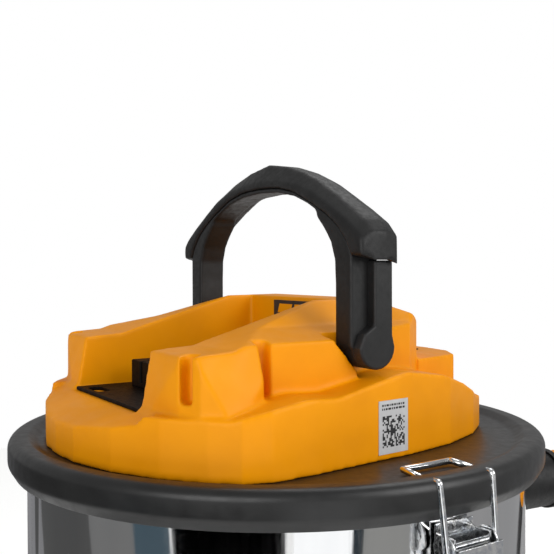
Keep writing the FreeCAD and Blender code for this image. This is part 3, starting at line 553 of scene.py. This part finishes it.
def add_drum(paint):
    """The rolled wall with a bead at its top and a lapped seam down one side."""
    inside, bead_low, bead_high = DRUM_RADIUS - DRUM_SHEET, DRUM_TOP - 3.8, DRUM_TOP - 1
    corners = [
        (inside, DRUM_LOW, 0), (DRUM_RADIUS, DRUM_LOW, 0), (DRUM_RADIUS, DRUM_TOP - 5, 1.5),
        (DRUM_RADIUS + BEAD, bead_low, 1), (DRUM_RADIUS + BEAD, bead_high, 1),
        (DRUM_RADIUS + 1, DRUM_TOP, 0.4), (inside, DRUM_TOP, 0),
    ]
    seam, width, lap_height = math.radians(270), math.radians(5), 0.5 * MM
    seam_top = (DRUM_TOP - 5) * MM

    def lap(angle, height):
        inside_seam = seam - width < angle < seam and height < seam_top
        return lap_height if inside_seam else 0.0

    profile = [(x * MM, z * MM) for x, z in rounded(corners)]
    drum = lathe("drum", profile, 360, lap)
    add_piece("drum", drum, paint, "root", ("drum_shell",))


STEPS_A_BEND = 8


def bent(corners, radii, turn):
    """A polyline through corners, each bent to its radius, turned about the drum's axis."""
    line = [corners[0]]
    for before, at, after, radius in zip(corners, corners[1:], corners[2:], radii):
        back, on = (before - at).normalized(), (after - at).normalized()
        half = back.angle(on) / 2
        reach = radius / math.tan(half)
        first, last = at + back * reach, at + on * reach
        middle = at + (back + on).normalized() * (radius / math.sin(half))
        for step in range(STEPS_A_BEND + 1):
            spoke = (first - middle).slerp(last - middle, step / STEPS_A_BEND)
            line.append(middle + spoke)
    line.append(corners[-1])
    spin = Matrix.Rotation(turn, 3, "Z")
    return [spin @ (point * MM) for point in line]


def directions_of(line):
    ahead = [(b - a).normalized() for a, b in zip(line, line[1:])]
    middle = [(a + b).normalized() for a, b in zip(ahead, ahead[1:])]
    return [ahead[0], *middle, ahead[-1]]


def add_bail(side, turn, paint):
    """The latch's wire: it turns in through the lever, runs up and lies over the lid's rim."""
    stub, shoulder, crest, rest = 12.0, 137, LID_LEVEL + 5.2, LID_LEVEL + WIRE_RADIUS + 0.15
    half = [
        Vector((BAIL_REACH, -stub, BAIL_PIVOT_LEVEL)),
        Vector((BAIL_REACH, -BAIL_HALF, BAIL_PIVOT_LEVEL)),
        Vector((BAIL_REACH, -BAIL_HALF, crest + 0.6)),
        Vector((shoulder, -BAIL_HALF, crest)),
        Vector((BAIL_INNER, -BAIL_HALF, rest)),
    ]
    corners = half + [Vector((p.x, -p.y, p.z)) for p in reversed(half)]
    radii = [2.4, 5, 5, 2.4]
    line = bent(corners, radii + radii[::-1], turn)
    mesh = tube(f"bail_{side}", line, directions_of(line), [WIRE_RADIUS * MM] * len(line), 16)
    add_piece(f"bail_{side}", mesh, paint, f"bail_{side}", (f"latch_bail_{side}",))


def add_cuff(paint):
    """The hose's yellow elbow: a sleeve against the port and two ribs before the hose."""
    start = Vector((0, PORT_REACH + 0.2, INLET_LEVEL))
    corner = Vector((0, PORT_REACH + 10, INLET_LEVEL))
    line = [start, corner]
    centre = corner - Vector((0, 0, CUFF_BEND))
    steps = 30
    for step in range(1, steps + 1):
        angle = CUFF_TURN * step / steps
        line.append(centre + Vector((0, math.sin(angle), math.cos(angle))) * CUFF_BEND)
    spin = Matrix.Rotation(DRUM_TURN, 3, "Z")
    line = [spin @ (point * MM) for point in line]
    length = length_of(line)
    rings = 96
    places = [length * i / rings for i in range(rings + 1)]
    centres, directions = spaced(line, places)
    ribbed, first_rib, rib_pitch, rib_height, lip_height, lip_width = 17, 4, 10, 1.6, 1.4, 6
    radii = []
    for place in places:
        from_end = (length - place) / MM
        wave = math.cos(2 * math.pi * (from_end - first_rib) / rib_pitch)
        rib = max(0.0, wave) if from_end < ribbed else 0.0
        lip = lip_height * max(0.0, 1 - place / (lip_width * MM))
        radii.append((CUFF_RADIUS - 0.3 + rib_height * rib ** 0.6 + lip) * MM)
    mesh = tube("cuff", centres, directions, radii, 48)
    return add_piece("cuff", mesh, paint, "root", ("hose_cuff",))


# ---------------------------------------------------------------- printed marks
def quad_marks(corner, along, marks):
    """Flat marks (across, up, width, height, slant) on an upright plane, in millimetres."""
    points, faces = [], []
    for across, up, width, height, slant in marks:
        base = len(points)
        for dx, dz in ((0, 0), (width, 0), (width + slant, height), (slant, height)):
            points.append((corner + along * (across + dx) + Vector((0, 0, up + dz))) * MM)
        faces.append((base, base + 1, base + 2, base + 3))
    return points, faces


def add_label_print(paint):
    """Rows of short strokes over a block of scattered cells on the small label."""
    wall_start, wall_end = Vector((100, -6, 0)), Vector((97.5, 18, 0))
    along = (wall_end - wall_start).normalized()
    out = Vector((along.y, -along.x, 0))
    corner = wall_start + along * 1.5 + out * 0.47 + Vector((0, 0, LID_LEVEL + 3))
    chance = random.Random(7)
    marks = []
    row_start, row_end, stroke_height, gap = 2.0, 18, 1.0, 0.5
    for row in (23.2, 21.4):
        across = row_start
        while across < row_end - 1.5:
            width = chance.uniform(0.6, 2.2)
            marks.append((across, row, min(width, row_end - across), stroke_height, 0))
            across += width + gap
    cell, cells, filled = 0.9, 17, 0.52
    for i in range(cells):
        for k in range(cells):
            if chance.random() < filled:
                marks.append((2.3 + i * cell, 3.2 + k * cell, cell, cell, 0))
    mesh = mesh_of("label_print", *quad_marks(corner, along, marks))
    add_piece("label_print", mesh, paint, "root", (), smooth=False)


def add_badge_bars(paint):
    """Three plain slanted bars on the bay's badge, each shorter than the last."""
    height, slant, gap = 5.3, 2, 2.5
    corner = Vector((-12, 8.77, LID_LEVEL + 66.6))
    marks, left = [], 0
    for width in (14, 9, 5):
        marks.append((left, 0, width, height, slant))
        left += width + gap
    mesh = mesh_of("badge_bars", *quad_marks(corner, Vector((1, 0, 0)), marks))
    add_piece("badge_bars", mesh, paint, "root", (), smooth=False)


def add_strips(paint):
    """The raised strips outside the handle's legs, from a round foot up under the cap."""
    foot = []
    for degrees in range(-180, 1, 15):
        angle = math.radians(degrees)
        foot.append((HANDLE_PIVOT_Y + FOOT_ROUND * math.cos(angle),
                     HANDLE_PIVOT_LEVEL + FOOT_ROUND * math.sin(angle)))
    front, back, top, knee = -1, 10.5, LID_LEVEL + 97, HANDLE_PIVOT_LEVEL + FOOT_ROUND
    outline = [*foot, (back, knee - 5), (back, top), (front, top), (front, knee), (-7, knee - 4)]
    points, faces = [], []
    low, high = 86.5, 92.9
    for inner, outer in ((low, high), (-high, -low)):
        base, count = len(points), len(outline)
        points += [Vector((x, y, z)) * MM for x in (inner, outer) for y, z in outline]
        faces += [(base + i, base + (i + 1) % count, base + count + (i + 1) % count,
                   base + count + i) for i in range(count)]
        faces.append(tuple(range(base + count - 1, base - 1, -1)))
        faces.append(tuple(range(base + count, base + 2 * count)))
    mesh = mesh_of("handle_bars", points, faces)
    strips = add_piece("handle_bars", mesh, paint, "handle",
                       ("handle_strips",), smooth=False)
    bevel = strips.modifiers.new("ease", "BEVEL")
    bevel.width = 1.2 * MM
    bevel.segments = 3
    bevel.limit_method = "ANGLE"
    bevel.angle_limit = math.radians(50)


def eased(node, width):
    """Weld a CAD piece's faces and ease its sharp edges."""
    piece = NODES[node]
    weld = piece.modifiers.new("weld", "WELD")
    weld.merge_threshold = 0.01 * MM
    bevel = piece.modifiers.new("ease", "BEVEL")
    bevel.width = width * MM
    bevel.segments = 2
    bevel.limit_method = "ANGLE"
    bevel.angle_limit = math.radians(40)
    bevel.harden_normals = True


# ---------------------------------------------------------------- build
add_camera()
paints = {
    "yellow": yellow_plastic(),
    "black": black_plastic(),
    "handle": handle_plastic(),
    "lid": lid_paint(),
    "drum": drum_steel(),
    "plated": plated_wire(),
    "hose": plain_plastic("hose_vinyl", (0.02, 0.02, 0.021), (0.03, 0.03, 0.031), 0.5),
    "rubber": plain_plastic("rubber", (0.015, 0.015, 0.015), (0.024, 0.024, 0.024), 0.8),
    "steel": plain_metal("steel", (0.45, 0.46, 0.48), (0.6, 0.6, 0.6), 0.3),
    "copper": plain_metal("copper", (0.75, 0.36, 0.18), (0.85, 0.46, 0.26), 0.3),
    "aluminium": plain_metal("aluminium", (0.62, 0.63, 0.64), (0.72, 0.72, 0.73), 0.28),
    "paper": plain_plastic("paper", (0.72, 0.70, 0.64), (0.80, 0.78, 0.72), 0.9),
    "board": plain_plastic("board", (0.02, 0.12, 0.05), (0.03, 0.16, 0.07), 0.4),
    "label": plain_plastic("label", (0.50, 0.50, 0.505), (0.55, 0.55, 0.55), 0.4),
    "ink": plain_plastic("ink", (0.012, 0.012, 0.013), (0.02, 0.02, 0.021), 0.5),
    "pale": plain_plastic("pale_nylon", (0.62, 0.61, 0.58), (0.70, 0.69, 0.66), 0.5),
    # Black plastic made darker, warmer and almost unshiny: part real black, part painted shade
    # of the battery bay's recess.
    "bay": plain_plastic("bay_black_and_painted_shade", (0.005, 0.004, 0.004), (0.008, 0.006, 0.005), 0.5,
                         shine=0.05),
}
BY_SLOT = {
    "yellow_plastic": "yellow", "black_plastic": "black", "lid_paint": "lid", "steel": "drum",
    "steel_base": "steel", "zinc": "plated", "chrome": "plated", "handle_plastic": "handle",
    "rubber": "rubber", "copper": "copper", "paper": "paper", "board": "board",
    "label": "label", "badge": "ink", "rocker": "black", "pipe": "aluminium", "hose": "hose",
    "shaft_steel": "steel", "filter_mesh": "steel", "filter_rings": "rubber",
    "spacer": "pale", "impeller": "black",
}
add_hose(paints["hose"], add_cuff(paints["yellow"]))
add_world()
add_floor()
add_softbox("front_box", 35, 12, (1.6, 1.4), 25)
add_softbox("right_box", 118, 22, (1.4, 1.6), 30)
add_softbox("top_box", 210, 62, (1.4, 1.4), 16)
bpy.context.scene.view_settings.view_transform = "Standard"

slot_of = {entry["node"]: entry["material_slot"] for entry in frame["record"]["subparts"]}
for name, obj in NODES.items():
    obj.data.materials.clear()
    obj.data.materials.append(paints[BY_SLOT[slot_of[name]]])
# The bay's floor plate and terminal block take the darker paint: painted shade in the recess.
for name in ("bay_floor_plate", "terminal_block"):
    NODES[name].data.materials[0] = paints["bay"]
for name, width in (("bay_floor_plate", 0.5), ("terminal_block", 0.8), ("switch_body", 0.6),
                    ("switch_rocker", 0.5), ("bay_badge", 0.3), ("latch_lever_a", 0.3),
                    ("latch_lever_b", 0.3), ("latch_bracket_a", 0.3), ("latch_bracket_b", 0.3)):
    eased(name, width)

softened("motor_head", "head_housing", 1.0, 10, paints["yellow"], "root")
softened("handle_bow", "handle_arch", 1.0, 8, paints["handle"], "handle")
softened("handle_top", "handle_cap", 1.0, 16, paints["handle"], "handle")
add_strips(paints["handle"])
add_lid(paints["lid"])
add_drum(paints["drum"])
for side, turn in (("a", LATCH_TURN), ("b", LATCH_TURN + math.pi)):
    add_bail(side, turn, paints["plated"])
add_label_print(paints["ink"])
add_badge_bars(paints["yellow"])

# The bands that the polished drum mirrors, from behind its left side, as the camera sees
# it, to behind its right: name, first and last polar angle in degrees, and colour.
CARDS = (
    ("card_left", -181, -145, (0.25, 0.25, 0.26)), ("card_left_dark", -145, -108, (0.10,) * 3),
    ("card_middle", -108, -86, (0.22,) * 3), ("card_blue", -86, -71, (0.08, 0.12, 0.15)),
    ("card_black", -70, -29, (0.0,) * 3), ("card_bright", -26, -5, (1.45, 1.46, 1.47)),
    ("card_line", -5, -1, (0.02, 0.03, 0.04)), ("card_grey", -1, 18, (0.34, 0.34, 0.33)),
    ("card_right", 18, 109, (0.36, 0.36, 0.365)),
)
for name, first, last, shade in CARDS:
    add_card(name, first, last, shade)
